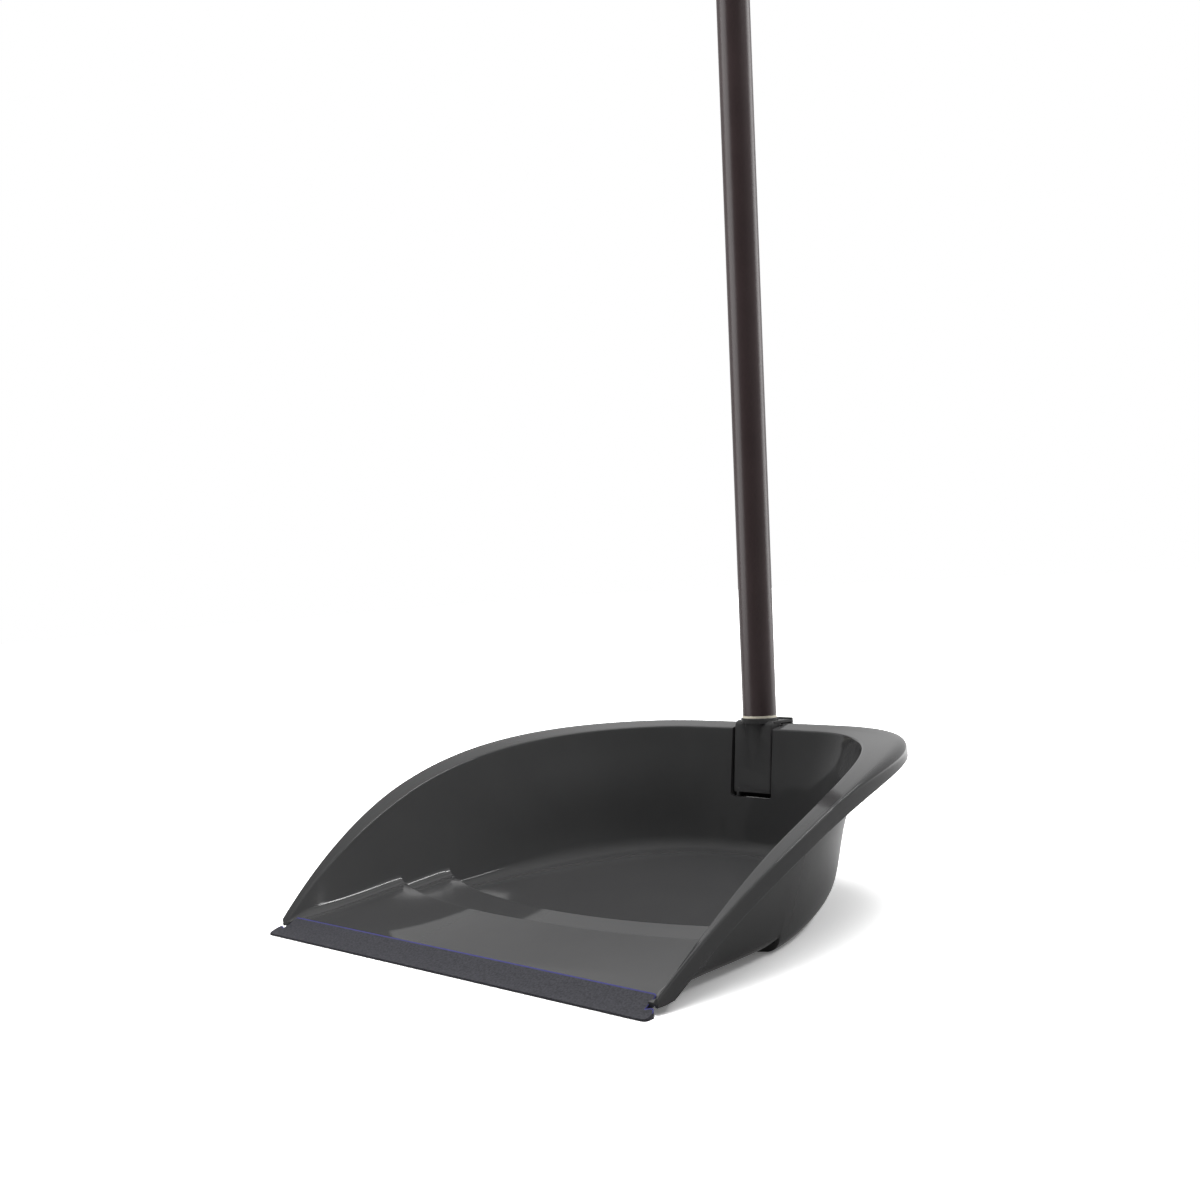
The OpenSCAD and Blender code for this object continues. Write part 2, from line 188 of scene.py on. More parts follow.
def prism(name, outline, low, high, axis="x"):
    """A prism in millimetres, over (depth, z) pairs along x or over (x, z) pairs along y."""
    if axis == "x":
        return solid(name, [[(x, depth - REST_Y, z) for depth, z in outline] for x in (low, high)])
    return solid(name, [[(x, y, z) for x, z in outline] for y in (low, high)])


def combine(piece, tool, operation):
    """Adds a tool to a piece, or cuts it out, and removes the tool."""
    change = piece.modifiers.new("change", "BOOLEAN")
    change.operation = operation
    change.solver = "EXACT"
    change.object = tool
    result = bpy.data.meshes.new_from_object(piece.evaluated_get(bpy.context.evaluated_depsgraph_get()))
    piece.modifiers.clear()
    piece.data = result
    bpy.data.objects.remove(tool)


def soften(piece, angle):
    """Smooth shading with sharp edges only where faces meet at more than an angle in degrees."""
    piece.data.shade_smooth()
    piece.data.set_sharp_from_angle(angle=math.radians(angle))


# Pan: sizes in millimetres, depths measured backwards from the lip's front edge

REST_Y = 180
FRONT_Y = 10
WALL = 2.6
BACK_BOW = 1.5

# Rim: its height falls from the back to the mouth, and its flange drops a little to the inside
RIM_H = 92.5
RIM_TOP_Y = 285
RIM_FOOT_Y = 1
RIM_DROP = 2.2
RIM_EDGE_ROUND = 1.0
SWEEP_POWER = 2.7
SKIRT = 10.5
SKIRT_CLEAR = 0.3
CROWN_ROUND = 1.2
CROWN_MORE = 5
CROWN_FROM_Y = 120
CROWN_RUN = 130
NOOK_ROUND = 1.5

# Floor: two ramps with arched crests and a basin that rises to the back
CREST_A_Y = 61.5
CREST_A_R = 313
CREST_GAP = 33.2
CREST_B_R = CREST_A_R - CREST_GAP
CREST_CENTRE_Y = CREST_A_Y + CREST_A_R
CREST_EDGE = 0.4
RAMP_A_FOOT = 5.7
RAMP_A_SLOPE = 0.09
RAMP_B_FOOT = 5.1
RAMP_B_SLOPE = 0.1
BASIN_RISE_Y = 128
BASIN_BLEND = 20
BASIN_SLOPE = 0.0655
BASIN_MIDDLE_Y = 236
UNDER_SHIFT = 9
UNDER_CAP = 4.5
UNDER_FADE = 20
# A riser's rounded profile: shares of its run and of its drop
RISER_RUN = 2.4
RISER_AT = (0, 0.2, 0.33, 0.42, 0.5, 0.58, 0.67, 0.8, 1)
RISER_DROP = (0, 0.02, 0.08, 0.2, 0.5, 0.8, 0.92, 0.98, 1)
# The crests rise towards the middle by a lift that fades to the sides and down the ramps
CREST_HALF = 138
CREST_FADE = 1.5
CREST_LIFT_A = 4.2
CREST_LIFT_B = 2.4
RAMP_A_RUN = 45
RAMP_B_RUN = 30
# A ramp's extra slope in its gloss: at its crest, its loss per millimetre before it, and its reach
RAMP_TILT_A = (0.063, 0.0008, 70)
RAMP_TILT_B = (0, 0.0006, CREST_GAP)
RAMP_ROUGHNESS = 0.05
# A face on a ramp points up at least this much and lies below this height
RAMP_FLAT = 0.97
RAMP_BELOW = RIM_H / 4

# Fillet between floor and wall: a band between two tight rounds, which soften and grow around the basin
FOOT_SLANT_Y = 60
FILLET = 4.2
CORNER_FILLET = 4
CORNER_FILLET_BACK = 0.25
CORNER_POWER = 1.5
CORNER_HOLLOW = 2.5
LINE_ROUND = 1.8
LINE_EASE = 0.46
LINE_SOFTENING = 2.2
HEEL_MORE = 2.2
HEEL_HOLLOW = 1.6

# Largest rounds and skin as shares of the wall's rise, the flange's reach and the rim's height
FILLET_RISE = 0.45
HEEL_RISE = 0.1
EDGE_RISE = 0.3
EDGE_REACH = 0.3
SKIN_REACH = 0.4
CROWN_REACH = 0.4
CROWN_HEIGHT = 0.2
NOOK_REACH = 0.3
# Hollow behind the skirt: its corner's largest round as a share of its depth, and its least open share
NOOK_DROP = 0.5
HOLLOW_LEAST = 0.05
# Crown: shares of its round by which it starts early on the flange and swells above it
CROWN_EARLY = 0.3
CROWN_SWELL = 0.7

# Points along the wall's section, and rows and columns of the floor
LINE_STEPS = 6
WALL_STEPS = 9
EDGE_STEPS = 7
FLANGE_STEPS = 3
CROWN_STEPS = 9
SKIRT_STEPS = 2
SKIRT_ROUND_STEPS = 7
NOOK_STEPS = 4
HEEL_STEPS = 9
FLOOR_STEPS = 22
FLOOR_CROWDING = 1.3
FRONT_ROWS = 16
BETWEEN_ROWS = 8
BASIN_ROWS = 64
ARC_HOLD = 12
BOW_FADE = 3
# Half the length over which the foot's direction is taken, rounds until the wall settles on the floor,
# and the width up to which a row counts as the middle of the back
FOOT_STEP = 0.5
SETTLE_ROUNDS = 3
MIDDLE_WIDTH = 1e-6
# Columns of the section on its tight rounds, which are polished: the rim's inner edge all round, and the
# fillet's two lines and the rim's outer edge at the front, up to a depth from the part's origin
EDGE_START = 2 * LINE_STEPS + WALL_STEPS
CROWN_START = EDGE_START + EDGE_STEPS + FLANGE_STEPS
EDGE_COLUMNS = range(EDGE_START, EDGE_START + EDGE_STEPS - 1)
FRONT_COLUMNS = (
    *range(LINE_STEPS - 1), *range(LINE_STEPS, 2 * LINE_STEPS - 1),
    *range(CROWN_START, CROWN_START + CROWN_STEPS - 1))
SHINE_Y = -50

# Handle's axis, slot for the bracket with its rails and pocket, skids, seat of the lip
HANDLE_Y = 285.8
TUBE_Z = 98
LEAN = math.radians(2.2)
SLOT_W = 32.6
SLOT_Z = 45.8
SLOT_ROUND = 2
SLOT_TOP = 2 * RIM_H
SLOT_FRONT = -30
SLOT_REAR = 0.5
POCKET_Z = 40.8
RAIL_W = 5.4
KEY_W = 1.5
KEY_T = 2.2
SLIDE_GAP = 0.3
# How deep blocks root in the back wall, how far the shelf reaches past the rails and the plate past the
# slot's lower edge, and how far a tool reaches past the face that it joins or cuts
BLOCK_ROOT = 0.5
SHELF_MORE = 0.3
PLATE_MORE = 2
OVERLAP = 1
SKID_X = 70
SKID_W = 3
SKID_FRONT_Y = BASIN_RISE_Y + 14
SKID_REAR_Y = 240
LIP_D = 16.4
LIP_REBATE = 1.2
LIP_GAP = 0.1
CLIP_L = 281.2


def plan_curve(half, depth, swell, flat, front, bend, power, steps=400):
    """Half a plan outline from the mouth to the middle of the back: side, rounded corner, bowed back."""
    s = np.linspace(0, 1, steps)
    side = np.stack([half + (front - half) * (1 - s) ** bend, FRONT_Y + (swell - FRONT_Y) * s], 1)
    turn = np.pi / 2 * s
    corner = np.stack([
        flat + (half - flat) * np.cos(turn).clip(0) ** (2 / power),
        swell + (depth - BACK_BOW - swell) * np.sin(turn) ** (2 / power),
    ], 1)
    back = np.stack([flat * (1 - s), depth - BACK_BOW * (1 - s) ** 2], 1)
    return np.concatenate([side[:-1], corner[:-1], back])


FOOT = plan_curve(half=133.2, depth=267.5, swell=72, flat=18, front=142.5, bend=3, power=2)
TOP = plan_curve(half=149.5, depth=277.5, swell=110, flat=50, front=143.5, bend=3, power=1.85)
RIM = plan_curve(half=162.5, depth=299, swell=110, flat=50, front=146.5, bend=1.5, power=2.3)
# Length along the foot's outline at each of its points
FOOT_LENGTH = np.concatenate([[0], np.cumsum(np.linalg.norm(np.diff(FOOT, axis=0), axis=1))])


def smooth(share):
    """A soft step from 0 to 1."""
    share = min(1, max(0, share))
    return share * share * (3 - 2 * share)


def rim_height(y):
    return RIM_H * (1 - max(0, (RIM_TOP_Y - y) / (RIM_TOP_Y - RIM_FOOT_Y)) ** SWEEP_POWER)


def ramp_a(y):
    return RAMP_A_FOOT + RAMP_A_SLOPE * (y - FRONT_Y)


def ramp_b(y):
    return RAMP_B_FOOT + RAMP_B_SLOPE * (y - CREST_A_Y)


def basin(y):
    along = y - BASIN_RISE_Y
    return WALL + BASIN_SLOPE * (along + np.hypot(along, BASIN_BLEND)) / 2


def floor_height(x, y, shift=0):
    """Height of the stepped floor: ramp, riser, ramp, riser, basin. shift moves the risers to the front."""
    radius = math.hypot(x, CREST_CENTRE_Y - y) - shift
    first, second = (
        np.interp((r - radius) / RISER_RUN, RISER_AT, RISER_DROP) for r in (CREST_A_R, CREST_B_R))
    middle = max(0, 1 - (x / CREST_HALF) ** 2) ** CREST_FADE
    rise_a = CREST_LIFT_A * middle * np.clip(1 - (radius - CREST_A_R) / RAMP_A_RUN, 0, 1)
    rise_b = CREST_LIFT_B * middle * np.clip(1 - (radius - CREST_B_R) / RAMP_B_RUN, 0, 1)
    behind = (1 - second) * (ramp_b(y) + rise_b) + second * basin(y)
    return (1 - first) * (ramp_a(y) + rise_a) + first * behind


def under_height(p, share):
    """Height of the floor's underside, kept low near the wall: share is 0 in the middle and 1 at the wall."""
    return min(floor_height(*p, UNDER_SHIFT) - WALL, UNDER_CAP + (1 - share) * UNDER_FADE)


def arc_y(x, radius):
    """Depth of an arched crest of that radius at a width."""
    return CREST_CENTRE_Y - np.sqrt(radius ** 2 - np.asarray(x, float) ** 2)


def foot_at(length):
    """Plan point of the wall's foot at a length along it."""
    return np.array([np.interp(length, FOOT_LENGTH, FOOT[:, k]) for k in (0, 1)])


def foot_on_arc(radius):
    """Length along the foot at which it meets a crest's arc."""
    gap = FOOT[:, 1] - arc_y(FOOT[:, 0], radius)
    k = int(np.argmax(gap > 0))
    share = -gap[k - 1] / (gap[k] - gap[k - 1])
    return FOOT_LENGTH[k - 1] + share * (FOOT_LENGTH[k] - FOOT_LENGTH[k - 1])


BASIN_LENGTH = foot_on_arc(CREST_B_R)


def basin_share(length):
    """0 in front of the basin, 1 in the middle of the back."""
    return np.clip((length - BASIN_LENGTH) / (FOOT_LENGTH[-1] - BASIN_LENGTH), 0, 1)


def corner_share(length, at_back):
    """0 along the sides, 1 in the middle of the rear corner, at_back in the middle of the back."""
    share = basin_share(length)
    peak = math.sin(math.pi * share) ** CORNER_POWER
    return peak + at_back * smooth(share) * (1 - peak)


def hit(curve, start, way):
    """Where a plan ray from start meets a plan curve."""
    rel = curve - start
    cross = way[0] * rel[:, 1] - way[1] * rel[:, 0]
    ahead = (rel[:-1] @ way > 0) & (cross[:-1] * cross[1:] <= 0)
    k = int(np.argmax(ahead)) if ahead.any() else (0 if abs(cross[0]) < abs(cross[-1]) else len(curve) - 2)
    share = cross[k] / (cross[k] - cross[k + 1]) if cross[k] != cross[k + 1] else 0
    return curve[k] + share * (curve[k + 1] - curve[k])


def outward(length):
    """Plan direction of the wall's section at a length: square to the mouth, then square to the foot."""
    if length >= FOOT_LENGTH[-1]:
        return np.array([0.0, 1.0])
    tangent = foot_at(min(length + FOOT_STEP, FOOT_LENGTH[-1])) - foot_at(max(length - FOOT_STEP, 0))
    normal = np.array([tangent[1], -tangent[0]]) / np.linalg.norm(tangent)
    share = np.clip((foot_at(length)[1] - FRONT_Y) / FOOT_SLANT_Y, 0, 1)
    way = (1 - share) * np.array([1.0, 0.0]) + share * normal
    return way / np.linalg.norm(way)


def direction(start, end):
    """The unit vector from one point to another."""
    return (end - start) / np.linalg.norm(end - start)


def bezier(start, corner, end, steps):
    """A rounded corner between two points."""
    t = np.linspace(0, 1, steps)[:, None]
    return (1 - t) ** 2 * start + 2 * t * (1 - t) * corner + t ** 2 * end


def line(start, end, steps, hollow=0):
    """Points between two others, without them, drawn in along the first axis by a hollow."""
    t = np.linspace(0, 1, steps + 2)[1:-1, None]
    return (1 - t) * start + t * end - np.array([hollow, 0]) * np.sin(math.pi * t) ** 2


def arc(centre, radius, turn):
    """Points on a circle at some angles."""
    return np.stack([centre[0] + radius * np.cos(turn), centre[1] + radius * np.sin(turn)], 1)


def fillet_lines(length, foot, top, up, out):
    """The fillet inside the wall, from its foot on the floor to its top on the wall."""
    band = top - foot
    width = np.linalg.norm(band)
    softness = smooth(basin_share(length) * LINE_SOFTENING)
    ease = min((LINE_ROUND / width) * (1 - softness) + LINE_EASE * softness, LINE_EASE)
    reach = ease * width
    climb = BASIN_SLOPE * out[1] * softness * reach
    return np.concatenate([
        bezier(foot - np.array([reach, 0]), foot + np.array([0, climb]), foot + band * ease, LINE_STEPS),
        bezier(top - band * ease, top, top + up * reach, LINE_STEPS),
    ])


def wall_section(length, floor, under):
    """Points of the section beyond the floor, in the plane of (out, z): inside, rim, skirt, outside.

    floor is the floor's height at the wall and under the height of its underside there."""
    # The wall's lean from foot to edge, the flange's reach beyond it, and their heights
    foot, out = foot_at(length), outward(length)
    top, rim = hit(TOP, foot, out), hit(RIM, foot, out)
    lean, reach = (top - foot) @ out, (rim - top) @ out
    outer = lean + reach
    edge, crest = rim_height(top[1]) - RIM_DROP, rim_height(rim[1])
    base = basin(foot[1])
    slant = lean / (edge - base)
    draft = math.atan(slant)
    up = np.array([slant, 1]) / math.hypot(slant, 1)
    rise = edge - floor
    hollow = CORNER_HOLLOW * corner_share(length, 0)

    # Inside: fillet and wall
    radius = min(FILLET + CORNER_FILLET * corner_share(length, CORNER_FILLET_BACK), FILLET_RISE * rise)
    toe = slant * (floor - base)
    heel = toe - radius / math.tan((math.pi / 2 + draft) / 2)
    inner_top = np.array([heel + radius * math.cos(draft), floor + radius - radius * math.sin(draft)])
    inner = fillet_lines(length, np.array([heel, floor]), inner_top, up, out)

    # Rim: rounded inner edge, flange and crown
    crown = CROWN_ROUND + CROWN_MORE * smooth((rim[1] - CROWN_FROM_Y) / CROWN_RUN)
    crown = min(crown, CROWN_REACH * reach, CROWN_HEIGHT * crest)
    corner, flange_end = np.array([lean, edge]), np.array([outer - crown, crest])
    over = direction(corner, flange_end)
    bend = min(RIM_EDGE_ROUND, EDGE_RISE * rise, EDGE_REACH * reach)
    edge_round = bezier(corner - up * bend, corner, corner + over * bend, EDGE_STEPS)
    crown_round = bezier(
        flange_end - over * crown * CROWN_EARLY, np.array([outer, crest + over[1] * crown * CROWN_SWELL]),
        np.array([outer, crest - crown]), CROWN_STEPS)

    # Skirt, and the hollow between it and the wall, which closes where the flange is narrow
    skin = min(WALL, SKIN_REACH * reach)
    low = max(ramp_a(rim[1]) - WALL + SKIRT_CLEAR, crest - SKIRT)
    open_share = min(1, max(HOLLOW_LEAST, (reach - 2 * WALL) / WALL))
    turn = np.linspace(0, -math.pi, SKIRT_ROUND_STEPS)
    skirt_round = arc((outer - skin / 2, low + skin / 2), skin / 2, turn)
    roof_out = np.array([outer - skin, low + (crest - WALL - low) * open_share])
    roof_in = np.array([lean + skin, low + (edge - WALL - low) * open_share])
    nook = min(NOOK_ROUND, NOOK_REACH * (reach - skin))
    drop = max(0, min(nook, NOOK_DROP * (roof_out[1] - low)))

    # Outside: wall and heel
    heel_radius = radius + WALL + min(HEEL_MORE, HEEL_RISE * rise) + HEEL_HOLLOW * hollow
    heel_middle = toe + skin + slant * (under + heel_radius - floor) - heel_radius * math.hypot(1, slant)
    turn = np.linspace(-draft, -math.pi / 2, HEEL_STEPS)
    outer_heel = arc((heel_middle, under + heel_radius), heel_radius, turn)
    flat, down = direction(roof_out, roof_in), direction(roof_in, outer_heel[0])

    return np.concatenate([
        inner, line(inner[-1], edge_round[0], WALL_STEPS, hollow), edge_round,
        line(edge_round[-1], crown_round[0], FLANGE_STEPS), crown_round,
        line(crown_round[-1], skirt_round[0], SKIRT_STEPS), skirt_round,
        bezier(roof_out - np.array([0, drop]), roof_out, roof_out + flat * nook, NOOK_STEPS),
        bezier(roof_in - flat * nook, roof_in, roof_in + down * nook, NOOK_STEPS),
        line(roof_in + down * nook, outer_heel[0], WALL_STEPS, hollow), outer_heel,
    ])


def wall_at(length):
    """The wall's points at a length along the foot, and where they meet the floor and its underside."""
    foot, out = foot_at(length), outward(length)
    heel = sole = foot
    for _ in range(SETTLE_ROUNDS):
        section = wall_section(length, floor_height(*heel), under_height(sole, 1))
        heel, sole = foot + out * section[0][0], foot + out * section[-1][0]
    return [(*(foot + out * d), z) for d, z in section], heel, sole


def row(length, middle_y, path):
    """One row of the pan, from the floor's middle over the wall and back below the floor.

    path maps a share of the way to the wall, the middle and the wall's heel to a plan point."""
    wall, heel, sole = wall_at(length)
    shares = 1 - (1 - np.linspace(0, 1, FLOOR_STEPS + 1)[:-1]) ** FLOOR_CROWDING
    middle = np.array([0, middle_y])
    over = [path(share, middle, heel) for share in shares]
    below = [path(share, middle, sole) for share in shares]
    top = [(*p, floor_height(*p)) for p in over]
    low = [(*p, under_height(p, share)) for p, share in zip(below, shares)]
    return np.array(top + wall + low[::-1])


def bowed(radius):
    """A path from the middle to the wall that bows like a crest of that radius."""
    def path(share, middle, end):
        x = end[0] * share
        bow = (arc_y(x, radius) - arc_y(0, radius)) / (arc_y(end[0], radius) - arc_y(0, radius))
        return np.array([x, middle[1] + (end[1] - middle[1]) * bow])
    return path


def on_arc(radius):
    """A path from the middle to the wall that keeps to a crest's arc until close to the wall."""
    def path(share, middle, end):
        x = end[0] * share
        return np.array([x, arc_y(x, radius) + (end[1] - arc_y(end[0], radius)) * share ** ARC_HOLD])
    return path


def straightening(radius, rest):
    """A path from the middle to the wall with a rest of the bow of a crest of that radius."""
    def path(share, middle, end):
        straight = middle + (end - middle) * share
        if end[0] < MIDDLE_WIDTH:
            return straight
        return straight + (bowed(radius)(share, middle, end) - straight) * rest
    return path


def pan_rows():
    """Rows of the right half from the mouth to the middle of the back, over the two ramps and the basin."""
    run = RISER_RUN * np.array(RISER_AT)
    near_a, near_b = CREST_A_R + UNDER_SHIFT, CREST_B_R + UNDER_SHIFT
    radii = np.concatenate([
        near_a - run, [CREST_A_R + CREST_EDGE], CREST_A_R - run,
        np.linspace(CREST_A_R - RISER_RUN, near_b, BETWEEN_ROWS)[1:-1],
        near_b - run, [CREST_B_R + CREST_EDGE], CREST_B_R - run])
    rows = []
    for share in np.linspace(0, 1, FRONT_ROWS)[:-1]:
        length = foot_on_arc(near_a) * share
        foot = foot_at(length)
        rows.append(row(length, foot[1] - (arc_y(foot[0], near_a) - arc_y(0, near_a)) * share, bowed(near_a)))
    for radius in radii:
        rows.append(row(foot_on_arc(radius), float(arc_y(0, radius)), on_arc(radius)))
    last = radii[-1]
    start, start_y = foot_on_arc(last), float(arc_y(0, last))
    for share in np.linspace(0, 1, BASIN_ROWS)[1:]:
        length = start + (FOOT_LENGTH[-1] - start) * share
        middle_y = start_y + (BASIN_MIDDLE_Y - start_y) * share
        rows.append(row(length, middle_y, straightening(last, (1 - share) ** BOW_FADE)))
    return rows


def pan_mesh():
    """The pan's shell in metres, both halves with end faces at the mouth, and which faces are polished."""
    rows = np.array(pan_rows())
    rows[:, [0, -1], 0] = 0
    rows[-1, :, 0] = 0
    rows[:, :, 1] -= REST_Y
    count, size = rows.shape[:2]
    vertices = [tuple(p * MM) for p in rows.reshape(-1, 3)]
    left = {}
    for k in range(count * size):
        x, y, z = vertices[k]
        if x > 0:
            left[k] = len(vertices)
            vertices.append((-x, y, z))
    right_faces = [
        (k * size + j, k * size + j + 1, (k + 1) * size + j + 1, (k + 1) * size + j)
        for k in range(count - 1) for j in range(size - 1)
    ]
    right_faces.append(tuple(range(size))[::-1])
    left_faces = [tuple(left.get(i, i) for i in reversed(face)) for face in right_faces]
    polished = [
        column in EDGE_COLUMNS
        or (column in FRONT_COLUMNS and vertices[k * size + FLOOR_STEPS + column][1] < SHINE_Y * MM)
        for k in range(count - 1) for column in range(-FLOOR_STEPS, size - 1 - FLOOR_STEPS)] + [False]
    return vertices, right_faces + left_faces, polished * 2


def handle_frame():
    """Stands a piece on the handle's axis: Z along it, with its zero at the frame's floor."""
    foot = Vector((0, HANDLE_Y - REST_Y, TUBE_Z)) * MM
    lean = Matrix.Rotation(-LEAN, 4, "X")
    return Matrix.Translation(foot) @ lean @ Matrix.Translation((0, 0, -TUBE_Z * MM))


def handle_depth(z):
    """Depth of the handle's axis at a height."""
    return HANDLE_Y + (z - TUBE_Z) * math.tan(LEAN)


def back_depth(z):
    """Depth of the inside of the back wall at a height."""
    foot, top = FOOT[-1][1], TOP[-1][1]
    low = float(basin(foot))
    return foot + (top - foot) * (z - low) / (RIM_H - RIM_DROP - low)


def slot_cutter():
    """The slot in the back wall, on the handle's axis: round lower corners, open at the top."""
    half = SLOT_W / 2
    turn = [math.radians(a) for a in range(180, 271, 15)]
    left = [
        (-half + SLOT_ROUND + SLOT_ROUND * math.cos(a), SLOT_Z + SLOT_ROUND + SLOT_ROUND * math.sin(a))
        for a in turn]
    right = [(-x, z) for x, z in reversed(left)]
    outline = left + right + [(half, SLOT_TOP), (-half, SLOT_TOP)]
    return prism("slot", outline, SLOT_FRONT, SLOT_REAR, "y")


def groove_cutter():
    """The groove in the slot's sides for the bracket's keys, on the handle's axis."""
    x, y = SLOT_W / 2 + KEY_W + SLIDE_GAP, KEY_T / 2 + SLIDE_GAP
    outline = [(-x, SLOT_Z + WALL), (x, SLOT_Z + WALL), (x, SLOT_TOP), (-x, SLOT_TOP)]
    return prism("groove", outline, -y, y, "y")


def back_block(left, right, low, high, extra=0):
    """A block rooted in the back wall, between two widths and two heights, with some extra depth behind."""
    rear = KEY_T / 2 + SLIDE_GAP + WALL + extra
    outline = [
        (back_depth(low) + BLOCK_ROOT, low), (handle_depth(low) + rear, low),
        (handle_depth(high) + rear, high), (back_depth(high) + BLOCK_ROOT, high)]
    return prism("block", outline, left, right)


def rear_plate():
    """The plate that closes the pocket behind the slot."""
    front, low, high = handle_depth(SLOT_Z) + KEY_T / 2 + SLIDE_GAP, POCKET_Z - OVERLAP, SLOT_Z + PLATE_MORE
    outline = [(front, low), (front + WALL / 2, low), (front + WALL / 2, high), (front, high)]
    half = SLOT_W / 2 + OVERLAP
    return prism("plate", outline, -half, half)


def skid(x):
    """A skid under the basin's rising floor."""
    front_z, rear_z = (float(basin(y)) - WALL / 2 for y in (SKID_FRONT_Y, SKID_REAR_Y))
    outline = [(SKID_FRONT_Y, 0), (SKID_REAR_Y, 0), (SKID_REAR_Y, rear_z), (SKID_FRONT_Y, front_z)]
    return prism("skid", outline, x - SKID_W / 2, x + SKID_W / 2)


def lip_seat():
    """The rebate on the floor's front edge in which the lip's upper flap lies."""
    front, rear = FRONT_Y - OVERLAP, LIP_D + LIP_GAP
    outline = [
        (front, ramp_a(front) - LIP_REBATE), (rear, ramp_a(rear) - LIP_REBATE),
        (rear, ramp_a(rear) + OVERLAP), (front, ramp_a(front) + OVERLAP)]
    return prism("seat", outline, -CLIP_L / 2, CLIP_L / 2)


def ramp_plastic():
    """The pan's plastic with the ramps' extra slope in its gloss: a bump that falls away from each crest."""
    material = MATERIALS["pan_plastic"].copy()
    material.name = "pan_ramps"
    tree = material.node_tree
    tree.nodes["Principled BSDF"].inputs["Roughness"].default_value = RAMP_ROUGHNESS
    where = tree.nodes.new("ShaderNodeTexCoord")
    flat = tree.nodes.new("ShaderNodeVectorMath")
    flat.operation = "MULTIPLY"
    flat.inputs[1].default_value = (1, 1, 0)
    tree.links.new(where.outputs["Object"], flat.inputs[0])
    away = tree.nodes.new("ShaderNodeVectorMath")
    away.operation = "DISTANCE"
    away.inputs[1].default_value = (0, (CREST_CENTRE_Y - REST_Y) * MM, 0)
    tree.links.new(flat.outputs[0], away.inputs[0])
    heights = []
    for (tilt, loss, run), crest in ((RAMP_TILT_A, CREST_A_R), (RAMP_TILT_B, CREST_B_R)):
        before = arithmetic(tree, "SUBTRACT", away.outputs["Value"], crest * MM)
        before = arithmetic(tree, "MINIMUM", arithmetic(tree, "MAXIMUM", before, 0.0), run * MM)
        slope = arithmetic(tree, "SUBTRACT", tilt, arithmetic(tree, "MULTIPLY", before, loss / MM / 2))
        heights.append(arithmetic(tree, "MULTIPLY", arithmetic(tree, "MULTIPLY", before, slope), -1.0))
    fall = bump(tree, arithmetic(tree, "ADD", *heights), strength=1, distance=1)
    grain = next(node for node in tree.nodes if node.type == "BUMP" and node != fall)
    tree.links.new(fall.outputs["Normal"], grain.inputs["Normal"])
    return material


def on_a_ramp(face):
    """Whether a face of the pan lies flat on one of the ramps."""
    x, y, z = face.center / MM
    before_basin = math.hypot(x, CREST_CENTRE_Y - REST_Y - y) > CREST_B_R
    return face.normal.z > RAMP_FLAT and before_basin and z < RAMP_BELOW


PLAIN, RAMP, POLISHED = 0, 1, 2
pan_points, pan_faces, pan_polish = pan_mesh()
pan = mesh_object("pan_shell", pan_points, pan_faces, MATERIALS["pan_plastic"])
pan.data.materials.append(ramp_plastic())
pan.data.materials.append(MATERIALS["pan_edges"])
for face, polished in zip(pan.data.polygons, pan_polish):
    face.material_index = POLISHED if polished else PLAIN
tidy_normals(pan)
rail_x, rail_end = SLOT_W / 2, SLOT_W / 2 + RAIL_W
shelf_end = rail_end + SHELF_MORE
combine(pan, back_block(rail_x, rail_end, POCKET_Z - OVERLAP, RIM_H - SKIRT), "UNION")
combine(pan, back_block(-rail_end, -rail_x, POCKET_Z - OVERLAP, RIM_H - SKIRT), "UNION")
combine(pan, back_block(-shelf_end, shelf_end, POCKET_Z - WALL, POCKET_Z, SHELF_MORE), "UNION")
combine(pan, rear_plate(), "UNION")
for skid_x in (-SKID_X, 0, SKID_X):
    combine(pan, skid(skid_x), "UNION")
combine(pan, lip_seat(), "DIFFERENCE")
for cutter in (slot_cutter(), groove_cutter()):
    cutter.matrix_world = handle_frame()
    bpy.context.view_layer.update()
    combine(pan, cutter, "DIFFERENCE")
soften(pan, angle=40)
for face in pan.data.polygons:
    if face.material_index == PLAIN and on_a_ramp(face):
        face.material_index = RAMP
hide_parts("pan")
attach(pan, "scoop")


# Lip: a strip of rubber with a long blade and a shorter flap behind it

LIP_TOP = 7.7
LIP_NOSE = 1.1
LIP_RISE_POWER = 1.2
LIP_HALF = 147
LIP_FLOOR_GAP = 0.05
LIP_SEAT_GAP = 0.02
LIP_SEAT_EARLY = 0.2
BLADE_D = 8.6
# Rounds of the section: the nose's foot (behind the front, above the floor), its upper end (behind the
# front, above the top) and the rear edge (behind the rear, above the top)
NOSE_FOOT = ((0.25, 0.1), (0, 0.35))
NOSE_SIDE = 0.5
NOSE_TOP = (0.3, 0.1)
REAR_EDGE = ((-0.15, -0.12), (0, -0.6))
REAR_ROUND = 0.9
LIP_TOP_STEPS = 10
LIP_UNDER_STEPS = 9
UNDER_FRONT = 0.4
# Ends of the flap and of the blade: beyond the clip's end, short of the full depth, behind the front.
# The tip, at the lip's own end, has only the last two
FLAP_END = ((-1, 0, 0), (-0.3, 0.4, 0), (0, 1.5, 0))
BLADE_END = ((0.5, 1.4, 0), (1.6, 1.2, 0.02), (3.2, 0.3, 0.05), (4.8, 0.5, 0.2), (5.8, 1.6, 0.7))
BLADE_TIP = (3, 1.8)


def lip_top(y):
    """Height of the lip's upper face: a nose at the front, then a soft rise to the flap's rear edge."""
    share = min(1, y / LIP_D)
    return LIP_NOSE + (LIP_TOP - LIP_NOSE) * share ** LIP_RISE_POWER


